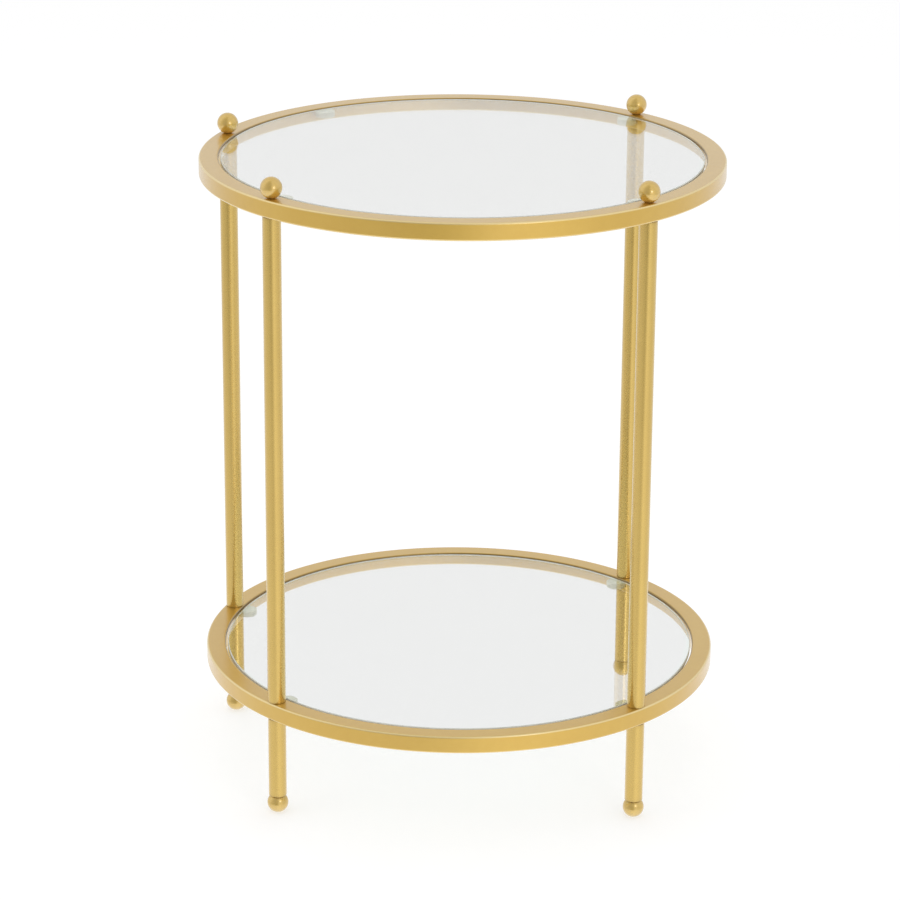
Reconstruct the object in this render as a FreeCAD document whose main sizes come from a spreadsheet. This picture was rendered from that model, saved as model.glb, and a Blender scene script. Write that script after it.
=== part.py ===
import FreeCAD, Part
import os
from enum import IntEnum, auto

import Sketcher

# Driving dimensions, in millimetres and degrees
SIZES = {
    # Hoops of rolled rectangular tube
    "ring_outer_diameter": 508.0,
    "ring_tube_width": 19.0,
    "ring_tube_height": 17.0,
    "ring_wall": 1.2,
    "ring_corner_radius": 1.8,
    # Posts and lower legs of round tube
    "post_length": 483.0,
    "lower_leg_length": 81.5,
    "leg_diameter": 17.5,
    "leg_wall": 1.2,
    # Places round the hoops, counted from +X towards +Y
    "rear_right_angle": 45.0,
    "rear_left_angle": 162.0,
    "front_left_angle": 225.0,
    "front_right_angle": 315.0,
    "top_rear_tab_angle": 128.0,
    # Turned balls
    "ball_diameter": 20.6,
    "finial_seat_diameter": 6.8,
    "foot_seat_diameter": 13.1,
    "foot_flat_diameter": 5.0,
    "ball_hole_depth": 9.0,
    # Threaded studs and plugs
    "stud_diameter": 6.0,
    "stud_chamfer": 0.6,
    "stud_end_gap": 1.0,
    "stud_hole_clearance": 0.4,
    "thread_clearance": 0.1,
    "plug_length": 12.0,
    "plug_clearance": 0.1,
    # Glass discs
    "glass_thickness": 5.0,
    "glass_edge_gap": 2.0,
    "glass_recess": 0.5,
    "glass_edge_chamfer": 0.7,
    # Support tabs and the soft sleeves pulled over them
    "tab_reach": 12.0,
    "tab_width": 16.0,
    "tab_thickness": 2.5,
    "sleeve_wall": 1.9,
    "sleeve_clearance": 0.1,
    "sleeve_end_gap": 0.5,
    "sleeve_edge_radius": 0.8,
    # How far every through cut runs past the faces that it opens
    "cut_overrun": 1.0,
}

# Sizes and levels that follow from the driving dimensions; levels are heights above the floor
LEVELS = {
    "leg_circle_radius": "Sizes.ring_outer_diameter / 2 - Sizes.ring_tube_width / 2",
    "ring_inner_radius": "Sizes.ring_outer_diameter / 2 - Sizes.ring_tube_width",
    "leg_bore_diameter": "Sizes.leg_diameter - 2 * Sizes.leg_wall",
    "thread_hole_diameter": "Sizes.stud_diameter + Sizes.thread_clearance",
    "glass_diameter": "2 * (ring_inner_radius - Sizes.glass_edge_gap)",
    "foot_drop": "sqrt((Sizes.ball_diameter / 2) ^ 2 - (Sizes.foot_flat_diameter / 2) ^ 2)",
    "foot_neck": "sqrt((Sizes.ball_diameter / 2) ^ 2 - (Sizes.foot_seat_diameter / 2) ^ 2)",
    "finial_drop": "sqrt((Sizes.ball_diameter / 2) ^ 2 - (Sizes.finial_seat_diameter / 2) ^ 2)",
    "lower_leg_base": "foot_drop + foot_neck",
    "bottom_ring_base": "lower_leg_base + Sizes.lower_leg_length",
    "post_base": "bottom_ring_base + Sizes.ring_tube_height",
    "top_ring_base": "post_base + Sizes.post_length",
    "finial_seat": "top_ring_base + Sizes.ring_tube_height",
    "sleeve_skin": "Sizes.sleeve_wall + Sizes.sleeve_clearance",
    "sleeve_height": "Sizes.tab_thickness + 2 * sleeve_skin",
    "glass_drop": "Sizes.glass_recess + Sizes.glass_thickness",
    "sleeve_drop": "glass_drop + sleeve_height",
    "tab_drop": "sleeve_drop - sleeve_skin",
}

LEGS = ("rear_right", "rear_left", "front_left", "front_right")
TAB_ANGLES = {
    "top": ("rear_right_angle", "top_rear_tab_angle", "front_left_angle", "front_right_angle"),
    "shelf": ("rear_right_angle", "rear_left_angle", "front_left_angle", "front_right_angle"),
}
RING_TOPS = {"top": "Levels.finial_seat", "shelf": "Levels.post_base"}

# Sketch references to the horizontal axis, which starts at the origin, and to the vertical axis
ORIGIN_INDEX = -1
VERTICAL_AXIS_INDEX = -2

UP = FreeCAD.Vector(0, 0, 1)
ALONG_X = FreeCAD.Vector(1, 0, 0)
HALF_TURN = 180.0
FULL_TURN = 360.0
STEP_FOLDER = "parts"


class Spot(IntEnum):
    """A point of a sketched curve, in the order in which constraints count them."""

    START = auto()
    END = auto()
    MIDDLE = auto()


document = FreeCAD.newDocument("tiered_side_table")


# Sheets and expressions

def fill_sheet(name, cells):
    """Makes a sheet with one aliased cell per entry."""
    sheet = document.addObject("Spreadsheet::Sheet", name)
    for row, (alias, content) in enumerate(cells.items(), start=1):
        sheet.set("A%d" % row, alias)
        sheet.set("B%d" % row, content)
        sheet.setAlias("B%d" % row, alias)
    document.recompute()
    return sheet


fill_sheet("Sizes", {alias: str(value) for alias, value in SIZES.items()})
levels = fill_sheet("Levels", {alias: "=" + formula for alias, formula in LEVELS.items()})


def number(expression):
    """Value of an expression over the two sheets."""
    return float(levels.evalExpression(expression))


def point(x, y):
    """A point of a sketch from two expressions."""
    return FreeCAD.Vector(number(x), number(y), 0)


def half(expression):
    """Expression for half of another one."""
    return "(%s) / 2" % expression


def leg_place(angle):
    """Expressions for the place of a leg on the hoop's middle circle."""
    turn = "Sizes.%s * 1 deg" % angle
    return "Levels.leg_circle_radius * cos(%s)" % turn, "Levels.leg_circle_radius * sin(%s)" % turn


# Bodies, sketches and features

def new_body(name):
    """An empty body whose label names its node."""
    body = document.addObject("PartDesign::Body", name)
    body.Label = name
    return body


def new_sketch(body, name, role, level="0"):
    """A sketch on one of the body's own planes, raised by a level."""
    sketch = body.newObject("Sketcher::SketchObject", name)
    plane = next(item for item in body.Origin.OriginFeatures if item.Role == role)
    sketch.AttachmentSupport = (plane, [""])
    sketch.MapMode = "FlatFace"
    sketch.setExpression("AttachmentOffset.Base.z", level)
    return sketch


def drive(sketch, kind, elements, expression):
    """Adds a constraint whose value follows an expression."""
    index = sketch.addConstraint(Sketcher.Constraint(kind, *elements, number(expression)))
    sketch.setExpression("Constraints[%d]" % index, expression)


def tie(sketch, kind, *elements):
    """Adds a constraint that has no value."""
    sketch.addConstraint(Sketcher.Constraint(kind, *elements))


def line(sketch, start, end):
    """Adds a straight line and returns its index."""
    return sketch.addGeometry(Part.LineSegment(start, end), False)


def arc(sketch, start, through, end):
    """Adds an arc through three points and returns its index."""
    return sketch.addGeometry(Part.Arc(start, through, end), False)


def circle(sketch, diameter, place=None):
    """Adds a circle about the origin, or about a place given by two expressions."""
    centre = point(*place) if place else FreeCAD.Vector()
    ring = sketch.addGeometry(Part.Circle(centre, UP, number(half(diameter))), False)
    drive(sketch, "Diameter", (ring,), diameter)
    if place:
        drive(sketch, "DistanceX", (ORIGIN_INDEX, Spot.START, ring, Spot.MIDDLE), place[0])
        drive(sketch, "DistanceY", (ORIGIN_INDEX, Spot.START, ring, Spot.MIDDLE), place[1])
    else:
        tie(sketch, "Coincident", ring, Spot.MIDDLE, ORIGIN_INDEX, Spot.START)


def pad(body, sketch, length):
    """Pads a sketch upwards by an expression."""
    feature = body.newObject("PartDesign::Pad", body.Name + "_pad")
    feature.Profile = sketch
    feature.setExpression("Length", length)
    document.recompute()
    return feature


def revolve(body, sketch):
    """Turns a sketch once round its vertical axis."""
    feature = body.newObject("PartDesign::Revolution", body.Name + "_turn")
    feature.Profile = sketch
    feature.ReferenceAxis = (sketch, ["V_Axis"])
    feature.Angle = FULL_TURN
    document.recompute()


def pocket(body, sketch, length):
    """Cuts a sketch upwards by an expression, and makes sure that it takes something away."""
    before = body.Shape.Volume
    feature = body.newObject("PartDesign::Pocket", body.Name + "_pocket")
    feature.Profile = sketch
    feature.Reversed = True
    feature.setExpression("Length", length)
    document.recompute()
    if not body.Shape.Volume < before:
        raise RuntimeError("nothing was cut from " + body.Label)


def dress_edges(body, base, kind, size_property, size, chosen):
    """Rounds or bevels the edges of a feature that a test picks."""
    names = ["Edge%d" % index for index, edge in enumerate(base.Shape.Edges, start=1) if chosen(edge)]
    feature = body.newObject(kind, "%s_%s" % (body.Name, size_property.lower()))
    feature.Base = (base, names)
    feature.setExpression(size_property, size)
    document.recompute()


def seat(body, level, place=None, turn=None):
    """Places a body at a level, at a place on the hoop or turned round the hoop's axis."""
    body.setExpression("Placement.Base.z", level)
    if place:
        body.setExpression("Placement.Base.x", place[0])
        body.setExpression("Placement.Base.y", place[1])
    if turn:
        body.Placement.Rotation = FreeCAD.Rotation(UP, HALF_TURN)
        body.setExpression("Placement.Rotation.Angle", turn)


# Hoops

def rounded_rectangle(sketch, left, bottom, width, height, radius):
    """Adds a rectangle with round corners: four lines joined by four tangent quarter arcs."""
    right = "(%s) + (%s)" % (left, width)
    top = "(%s) + (%s)" % (bottom, height)
    inset_left, inset_right = "(%s) + (%s)" % (left, radius), "(%s) - (%s)" % (right, radius)
    inset_bottom, inset_top = "(%s) + (%s)" % (bottom, radius), "(%s) - (%s)" % (top, radius)
    low = line(sketch, point(inset_left, bottom), point(inset_right, bottom))
    outer = line(sketch, point(right, inset_bottom), point(right, inset_top))
    high = line(sketch, point(inset_right, top), point(inset_left, top))
    inner = line(sketch, point(left, inset_top), point(left, inset_bottom))
    sides = (low, outer, high, inner)
    centres = (
        point(inset_right, inset_bottom),
        point(inset_right, inset_top),
        point(inset_left, inset_top),
        point(inset_left, inset_bottom),
    )
    outward = ((1, -1), (1, 1), (-1, 1), (-1, -1))
    corners = []
    for side, following, centre, (across, along) in zip(sides, sides[1:] + sides[:1], centres, outward):
        bulge = FreeCAD.Vector(across, along, 0).normalize() * number(radius)
        start = sketch.getPoint(side, Spot.END)
        end = sketch.getPoint(following, Spot.START)
        corner = arc(sketch, start, centre + bulge, end)
        tie(sketch, "Tangent", side, Spot.END, corner, Spot.START)
        tie(sketch, "Tangent", corner, Spot.END, following, Spot.START)
        corners.append(corner)
    for corner in corners[1:]:
        tie(sketch, "Equal", corners[0], corner)
    for side in (low, high):
        tie(sketch, "Horizontal", side)
    for side in (outer, inner):
        tie(sketch, "Vertical", side)
    drive(sketch, "Radius", (corners[0],), radius)
    drive(sketch, "DistanceX", (ORIGIN_INDEX, Spot.START, inner, Spot.START), left)
    drive(sketch, "DistanceX", (inner, Spot.START, outer, Spot.START), width)
    drive(sketch, "DistanceY", (ORIGIN_INDEX, Spot.START, low, Spot.START), bottom)
    drive(sketch, "DistanceY", (low, Spot.START, high, Spot.START), height)


def make_ring(name, level):
    """A hoop of hollow rectangular tube, drilled for the stud of each leg."""
    body = new_body(name)
    section = new_sketch(body, name + "_section", "XZ_Plane")
    rounded_rectangle(
        section,
        "Levels.ring_inner_radius",
        "0",
        "Sizes.ring_tube_width",
        "Sizes.ring_tube_height",
        "Sizes.ring_corner_radius",
    )
    rounded_rectangle(
        section,
        "Levels.ring_inner_radius + Sizes.ring_wall",
        "Sizes.ring_wall",
        "Sizes.ring_tube_width - 2 * Sizes.ring_wall",
        "Sizes.ring_tube_height - 2 * Sizes.ring_wall",
        "Sizes.ring_corner_radius - Sizes.ring_wall",
    )
    revolve(body, section)
    holes = new_sketch(body, name + "_holes", "XY_Plane", "-Sizes.cut_overrun")
    for leg in LEGS:
        circle(holes, "Sizes.stud_diameter + Sizes.stud_hole_clearance", leg_place(leg + "_angle"))
    pocket(body, holes, "Sizes.ring_tube_height + 2 * Sizes.cut_overrun")
    seat(body, level)
    return body


# Glass

def make_glass(name, ring_top):
    """A glass disc with ground edges."""
    body = new_body(name)
    outline = new_sketch(body, name + "_outline", "XY_Plane")
    circle(outline, "Levels.glass_diameter")
    disc = pad(body, outline, "Sizes.glass_thickness")
    dress_edges(body, disc, "PartDesign::Chamfer", "Size", "Sizes.glass_edge_chamfer", is_circle)
    seat(body, ring_top + " - Levels.glass_drop")
    return body


def is_circle(edge):
    """Whether an edge is a full circle."""
    return isinstance(edge.Curve, Part.Circle) and edge.isClosed()


# Tubes, plugs and studs

def make_tube(name, length, level, leg):
    """A round tube that stands on a leg's place."""
    body = new_body(name)
    section = new_sketch(body, name + "_section", "XY_Plane")
    circle(section, "Sizes.leg_diameter")
    circle(section, "Levels.leg_bore_diameter")
    pad(body, section, length)
    seat(body, level, leg_place(leg + "_angle"))
    return body


def make_plugs(name, level):
    """The tapped plugs of all four legs at one level."""
    body = new_body(name)
    body.AllowCompound = True
    section = new_sketch(body, name + "_section", "XY_Plane")
    for leg in LEGS:
        place = leg_place(leg + "_angle")
        circle(section, "Levels.leg_bore_diameter - Sizes.plug_clearance", place)
        circle(section, "Levels.thread_hole_diameter", place)
    pad(body, section, "Sizes.plug_length")
    seat(body, level)
    return body


def make_studs(name, length, level):
    """The studs of all four legs at one level, with bevelled ends."""
    body = new_body(name)
    body.AllowCompound = True
    section = new_sketch(body, name + "_section", "XY_Plane")
    for leg in LEGS:
        circle(section, "Sizes.stud_diameter", leg_place(leg + "_angle"))
    rods = pad(body, section, length)
    dress_edges(body, rods, "PartDesign::Chamfer", "Size", "Sizes.stud_chamfer", is_circle)
    seat(body, level)
    return body


# Balls

def ball_profile(sketch, seat_diameter, seat_height, flat_diameter=None, flat_drop=None):
    """Half outline of a turned ball with a seat on top, a tapped hole in it and, if asked, a flat below."""
    radius = half("Sizes.ball_diameter")
    hole_radius = half("Levels.thread_hole_diameter")
    hole_end = "%s - Sizes.ball_hole_depth" % seat_height
    low = point(half(flat_diameter), "-" + flat_drop) if flat_diameter else point("0", "-" + radius)
    rim = point(half(seat_diameter), seat_height)
    round_side = arc(sketch, low, point(radius, "0"), rim)
    face = line(sketch, rim, point(hole_radius, seat_height))
    wall = line(sketch, point(hole_radius, seat_height), point(hole_radius, hole_end))
    floor = line(sketch, point(hole_radius, hole_end), point("0", hole_end))
    bottom = point("0", "-" + flat_drop) if flat_diameter else low
    axis = line(sketch, point("0", hole_end), bottom)
    chain = [round_side, face, wall, floor, axis]
    if flat_diameter:
        flat = line(sketch, bottom, low)
        chain.append(flat)
        tie(sketch, "Horizontal", flat)
        drive(sketch, "DistanceX", (ORIGIN_INDEX, Spot.START, flat, Spot.END), half(flat_diameter))
    for part, following in zip(chain, chain[1:] + chain[:1]):
        tie(sketch, "Coincident", part, Spot.END, following, Spot.START)
    tie(sketch, "Coincident", round_side, Spot.MIDDLE, ORIGIN_INDEX, Spot.START)
    tie(sketch, "PointOnObject", axis, Spot.END, VERTICAL_AXIS_INDEX)
    for level_line in (face, floor):
        tie(sketch, "Horizontal", level_line)
    for upright in (wall, axis):
        tie(sketch, "Vertical", upright)
    drive(sketch, "Radius", (round_side,), radius)
    drive(sketch, "DistanceX", (ORIGIN_INDEX, Spot.START, face, Spot.START), half(seat_diameter))
    drive(sketch, "DistanceX", (ORIGIN_INDEX, Spot.START, wall, Spot.START), hole_radius)
    drive(sketch, "DistanceY", (wall, Spot.END, wall, Spot.START), "Sizes.ball_hole_depth")


def make_foot(name, leg):
    """A ball foot: its seat meets the end of the leg, and its floor flat is small."""
    body = new_body(name)
    profile = new_sketch(body, name + "_profile", "XZ_Plane")
    ball_profile(
        profile,
        "Sizes.foot_seat_diameter",
        "Levels.foot_neck",
        "Sizes.foot_flat_diameter",
        "Levels.foot_drop",
    )
    revolve(body, profile)
    seat(body, "Levels.foot_drop", leg_place(leg + "_angle"))
    return body


def make_finial(name, leg):
    """A ball finial, seat down on the upper hoop."""
    body = new_body(name)
    profile = new_sketch(body, name + "_profile", "XZ_Plane")
    ball_profile(profile, "Sizes.finial_seat_diameter", "Levels.finial_drop")
    revolve(body, profile)
    body.Placement.Rotation = FreeCAD.Rotation(ALONG_X, HALF_TURN)
    seat(body, "Levels.finial_seat + Levels.finial_drop", leg_place(leg + "_angle"))
    return body


# Tabs and sleeves

def tongue(sketch, root_radius, tip_radius, width):
    """Outline of a tongue from a hoop's wall inwards: a root arc, two sides and a half-round nose."""
    side = half(width)
    nose_x = "%s + %s" % (tip_radius, side)
    root_x = "sqrt((%s) ^ 2 - (%s) ^ 2)" % (root_radius, side)
    minus_side = "-" + side
    root = arc(sketch, point(root_x, minus_side), point(root_radius, "0"), point(root_x, side))
    upper = line(sketch, point(root_x, side), point(nose_x, side))
    nose = arc(sketch, point(nose_x, side), point(tip_radius, "0"), point(nose_x, minus_side))
    lower = line(sketch, point(nose_x, minus_side), point(root_x, minus_side))
    tie(sketch, "Coincident", root, Spot.MIDDLE, ORIGIN_INDEX, Spot.START)
    tie(sketch, "Coincident", root, Spot.END, upper, Spot.START)
    tie(sketch, "Coincident", root, Spot.START, lower, Spot.END)
    tie(sketch, "Tangent", upper, Spot.END, nose, Spot.START)
    tie(sketch, "Tangent", nose, Spot.END, lower, Spot.START)
    tie(sketch, "Horizontal", upper)
    tie(sketch, "Horizontal", lower)
    tie(sketch, "PointOnObject", nose, Spot.MIDDLE, ORIGIN_INDEX)
    drive(sketch, "Radius", (root,), root_radius)
    drive(sketch, "Radius", (nose,), side)
    drive(sketch, "DistanceX", (ORIGIN_INDEX, Spot.START, nose, Spot.MIDDLE), nose_x)


def make_tab(name, angle, ring_top):
    """A steel tab whose root lies on the hoop's inner wall."""
    body = new_body(name)
    outline = new_sketch(body, name + "_outline", "XY_Plane")
    tongue(
        outline,
        "Levels.ring_inner_radius",
        "Levels.ring_inner_radius - Sizes.tab_reach",
        "Sizes.tab_width",
    )
    pad(body, outline, "Sizes.tab_thickness")
    seat(body, ring_top + " - Levels.tab_drop", turn="Sizes." + angle)
    return body


def make_sleeve(name, angle, ring_top):
    """A soft sleeve with rounded edges, and a slot that the tab fills."""
    body = new_body(name)
    outline = new_sketch(body, name + "_outline", "XY_Plane")
    tongue(
        outline,
        "Levels.ring_inner_radius - Sizes.sleeve_end_gap",
        "Levels.ring_inner_radius - Sizes.tab_reach - Levels.sleeve_skin",
        "Sizes.tab_width + 2 * Levels.sleeve_skin",
    )
    block = pad(body, outline, "Levels.sleeve_height")
    dress_edges(body, block, "PartDesign::Fillet", "Radius", "Sizes.sleeve_edge_radius", is_rim)
    slot = new_sketch(body, name + "_slot", "XY_Plane", "Sizes.sleeve_wall")
    tongue(
        slot,
        "Levels.ring_inner_radius + Sizes.cut_overrun",
        "Levels.ring_inner_radius - Sizes.tab_reach - Sizes.sleeve_clearance",
        "Sizes.tab_width + 2 * Sizes.sleeve_clearance",
    )
    pocket(body, slot, "Sizes.tab_thickness + 2 * Sizes.sleeve_clearance")
    seat(body, ring_top + " - Levels.sleeve_drop", turn="Sizes." + angle)
    return body


def is_rim(edge):
    """Whether an edge of a padded outline lies level, rather than standing."""
    return edge.BoundBox.ZLength < number(half("Sizes.tab_thickness"))


# The table

def build():
    """Makes every piece and returns the bodies in order."""
    bodies = [
        make_ring("bottom_ring", "Levels.bottom_ring_base"),
        make_ring("top_ring", "Levels.top_ring_base"),
        make_glass("shelf_glass", RING_TOPS["shelf"]),
        make_glass("top_glass", RING_TOPS["top"]),
    ]
    for leg in LEGS:
        bodies += [
            make_foot("ball_foot_" + leg, leg),
            make_tube("lower_leg_" + leg, "Sizes.lower_leg_length", "Levels.lower_leg_base", leg),
            make_tube("post_" + leg, "Sizes.post_length", "Levels.post_base", leg),
            make_finial("finial_" + leg, leg),
        ]
    for tier, angles in TAB_ANGLES.items():
        for leg, angle in zip(LEGS, angles):
            bodies += [
                make_tab("%s_tab_%s" % (tier, leg), angle, RING_TOPS[tier]),
                make_sleeve("%s_sleeve_%s" % (tier, leg), angle, RING_TOPS[tier]),
            ]
    foot_reach = "(Sizes.ball_hole_depth - Sizes.stud_end_gap)"
    below_lower_leg = "Levels.lower_leg_base - " + foot_reach
    below_bottom_ring = "Levels.bottom_ring_base - Sizes.plug_length"
    below_top_ring = "Levels.top_ring_base - Sizes.plug_length"
    through_ring = "Sizes.ring_tube_height + Sizes.plug_length"
    bodies += [
        make_plugs("leg_bottom_plugs", "Levels.lower_leg_base"),
        make_plugs("leg_top_plugs", below_bottom_ring),
        make_plugs("post_bottom_plugs", "Levels.post_base"),
        make_plugs("post_top_plugs", below_top_ring),
        make_studs("foot_studs", "Sizes.plug_length + " + foot_reach, below_lower_leg),
        make_studs("leg_studs", "Sizes.plug_length + " + through_ring, below_bottom_ring),
        make_studs("finial_studs", through_ring + " + " + foot_reach, below_top_ring),
    ]
    return bodies


def check(bodies):
    """Stops the build if any object failed or any shape is missing or faulty."""
    document.recompute()
    for item in document.Objects:
        if "Invalid" in item.State or "Error" in item.State:
            raise RuntimeError("%s failed: %s" % (item.Label, item.State))
    for body in bodies:
        if body.Shape.isNull() or not body.Shape.isValid() or not body.Shape.Solids:
            raise RuntimeError("%s has no sound shape" % body.Label)


def write(bodies):
    """Writes one file for each body."""
    os.makedirs(STEP_FOLDER, exist_ok=True)
    for body in bodies:
        body.Shape.exportStep(os.path.join(STEP_FOLDER, body.Label + ".step"))


table = build()
check(table)
write(table)
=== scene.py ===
"""Looks of a round two-tier side table: gold hoops, clear glass, four posts and eight balls."""
import logging
from dataclasses import dataclass, field
from enum import Enum
from functools import cache
from typing import Any, ClassVar

import bpy
import numpy as np
from bpy.types import ID, Material, Node, NodeTree, Object
from bpy.types import NodeSocket as Socket
from mathutils import Matrix, Vector


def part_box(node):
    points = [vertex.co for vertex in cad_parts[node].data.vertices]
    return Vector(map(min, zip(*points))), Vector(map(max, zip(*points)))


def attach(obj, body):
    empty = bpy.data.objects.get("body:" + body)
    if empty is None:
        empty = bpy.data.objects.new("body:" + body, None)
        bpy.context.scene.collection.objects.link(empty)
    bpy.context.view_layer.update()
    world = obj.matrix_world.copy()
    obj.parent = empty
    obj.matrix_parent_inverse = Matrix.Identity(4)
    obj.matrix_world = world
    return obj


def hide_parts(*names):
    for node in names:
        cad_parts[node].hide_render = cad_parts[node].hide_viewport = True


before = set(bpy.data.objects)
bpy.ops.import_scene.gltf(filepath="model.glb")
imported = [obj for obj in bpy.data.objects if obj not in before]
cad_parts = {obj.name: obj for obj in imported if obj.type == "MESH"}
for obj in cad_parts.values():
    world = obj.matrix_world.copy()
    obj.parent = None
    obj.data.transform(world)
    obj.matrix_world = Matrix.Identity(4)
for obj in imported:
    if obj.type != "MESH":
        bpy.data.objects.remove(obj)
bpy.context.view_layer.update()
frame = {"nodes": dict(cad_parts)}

MM = 0.001
QUARTER_TURN = np.pi / 2.0
FULL_TURN = 2.0 * np.pi
DIAGONAL = np.sqrt(0.5)
TABLE_AXIS = (0.0, 0.0)
WHITE = (1.0, 1.0, 1.0)

# Points along each rounded corner of a section
CORNER_STEPS = 9

# Noises of a coat's tone: the input that scales each one, its detail and its weight
MOTTLE_LAYERS = (("Broad Scale", 3.0, 0.65), ("Fine Scale", 2.0, 0.35))
MOTTLE_RANGE = (0.3, 0.7)

# Noises of the grain; the polish varies at a share of the grain's own scale
GRAIN_DETAIL, GRAIN_ROUGHNESS = 4.0, 0.6
POLISH_DETAIL, POLISH_SCALE_SHARE = 3.0, 0.2

# A ray that has passed an odd number of a pane's faces is inside the glass
FACES_PER_PANE = 2.0

Array = np.ndarray
Colour = tuple[float, float, float]
Levels = tuple[tuple[float, float], ...]
Span = tuple[float, float]

log = logging.getLogger("side_table")


# Named options

class Leg(Enum):
    """The four places round the hoops where a post stands."""

    REAR_RIGHT = "rear_right"
    REAR_LEFT = "rear_left"
    FRONT_LEFT = "front_left"
    FRONT_RIGHT = "front_right"


class Tier(Enum):
    """The two levels that hold glass."""

    TOP = "top"
    SHELF = "shelf"


class Slot(Enum):
    """The record's material slots."""

    FRAME = "gold_frame"
    TUBE = "gold_tube"
    BALL = "gold_ball"
    GLASS = "clear_glass"
    SLEEVE = "clear_sleeve"
    STEEL = "zinc_steel"


class Mark(Enum):
    """Mesh attributes that a finish reads: painted highlights on bends, painted shade at joins."""

    # Painted highlight along the hoops' rounded edges, and painted light under the balls
    CORNER = "painted_highlight_share"
    # Painted shade in the gap round the glass, and where tubes and balls meet other parts
    JOINT_SHADE = "joint_shade_share"


Materials = dict[Slot, list[Material]]


def new_object(name: str, data: ID) -> Object:
    """Adds an object to the scene.

    Args:
        name: Name of the object.
        data: Its mesh, lamp or camera.

    Returns:
        The object, at the origin.
    """
    made = bpy.data.objects.new(name, data)
    bpy.context.scene.collection.objects.link(made)
    return made


# Skins: arrays of points with the faces between them

@dataclass
class Skin:
    """A closed surface as arrays.

    Attributes:
        points: Places of the vertices, one row each, in metres.
        faces: Vertex indices of each face, counted so that it points outwards.
        painted_highlight: Share of each vertex in a painted highlight on a rounded edge, from 0 to
            1.
        joint_shade: Share of each vertex in painted shade at a join with the next piece, from 0 to
            1.
    """

    points: Array
    faces: list[list[int]]
    painted_highlight: Array
    joint_shade: Array

    def piece(self, name: str) -> Object:
        """Puts the skin into a new object at the origin.

        Args:
            name: Name of the piece.

        Returns:
            The new object, smooth shaded, with its two marks as attributes.
        """
        mesh = bpy.data.meshes.new(name)
        mesh.from_pydata(self.points.tolist(), [], self.faces)
        mesh.polygons.foreach_set("use_smooth", np.ones(len(mesh.polygons), bool))
        for mark, share in ((Mark.CORNER, self.painted_highlight), (Mark.JOINT_SHADE, self.joint_shade)):
            layer = mesh.attributes.new(mark.value, "FLOAT", "POINT")
            layer.data.foreach_set("value", share.astype(np.float32))
        mesh.validate()
        mesh.update()
        return new_object(name, mesh)


def lattice(rows: int, columns: int, rows_close: bool) -> Array:
    """Quads of a grid whose columns close on themselves.

    Vertex (i, j) has the index i * columns + j, and each quad takes it, its neighbour along the
    row, and the same two on the next row, in that turning sense.

    Args:
        rows: How many rows the grid has.
        columns: How many vertices each row has.
        rows_close: Whether the last row joins the first.

    Returns:
        One row of four indices for each quad.
    """
    low = np.arange(rows if rows_close else rows - 1)[:, None] * columns
    high = (low + columns) % (rows * columns)
    here = np.arange(columns)[None, :]
    there = (here + 1) % columns
    quads = np.stack([low + here, low + there, high + there, high + here], axis=-1)
    return quads.reshape(-1, 4)


def capped(rows: int, columns: int) -> list[list[int]]:
    """Faces of a grid of rings whose first and last ring are closed by a pole each.

    The first pole's index follows the grid's last vertex, and the second pole's follows that.

    Args:
        rows: How many rings there are.
        columns: How many vertices each ring has.

    Returns:
        The quads between the rings and the two fans of triangles.
    """
    here = np.arange(columns)
    there = (here + 1) % columns
    first, last, start = rows * columns, rows * columns + 1, (rows - 1) * columns
    low_fan = np.stack([np.full(columns, first), there, here], axis=-1)
    high_fan = np.stack([np.full(columns, last), start + here, start + there], axis=-1)
    return lattice(rows, columns, False).tolist() + low_fan.tolist() + high_fan.tolist()


@dataclass
class Profile:
    """A half section of a turned piece.

    Attributes:
        radius: Distance of each point from the axis.
        height: Height of each point.
        painted_highlight: Share of each point in a painted highlight on a rounded edge.
        joint_shade: Share of each point in painted shade at a join.
        closed: Whether the last point joins the first. An open profile ends at two poles.
    """

    radius: Array
    height: Array
    painted_highlight: Array
    joint_shade: Array
    closed: bool

    def turned(self, centre: tuple[float, float], turns: int) -> Skin:
        """Carries the profile once round an upright axis.

        A point at radius r and height z goes to (x + r cos t, y + r sin t, z) for equal steps of
        the angle t.

        Args:
            centre: Place of the axis.
            turns: How many steps the turn has.

        Returns:
            The skin, pointing outwards where the profile runs up its outer side.
        """
        angle = np.linspace(0.0, FULL_TURN, turns, endpoint=False)
        body = slice(None) if self.closed else slice(1, -1)
        radius, height = self.radius[body, None], self.height[body, None]
        grid = np.stack(
            [
                centre[0] + radius * np.cos(angle),
                centre[1] + radius * np.sin(angle),
                height + np.zeros_like(angle),
            ],
            axis=-1,
        )
        points = grid.reshape(-1, 3)
        painted_highlight, joint_shade = np.repeat(self.painted_highlight[body], turns), np.repeat(self.joint_shade[body], turns)
        if self.closed:
            return Skin(points, lattice(len(radius), turns, True).tolist(), painted_highlight, joint_shade)
        ends = [0, -1]
        poles = np.stack([np.full(2, centre[0]), np.full(2, centre[1]), self.height[ends]], axis=-1)
        return Skin(
            np.concatenate([points, poles]),
            capped(len(radius), turns),
            np.concatenate([painted_highlight, self.painted_highlight[ends]]),
            np.concatenate([joint_shade, self.joint_shade[ends]]),
        )


def stations(length: float, margins: Array) -> Array:
    """Places along a flat side, close together near both ends and open in the middle.

    Args:
        length: Length of the side.
        margins: Distances from either end that get a point of their own.

    Returns:
        The places, from one end towards the other, without the ends themselves.
    """
    near = margins[margins < length / 2.0]
    return np.concatenate([near, (length - near)[::-1]])


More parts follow.
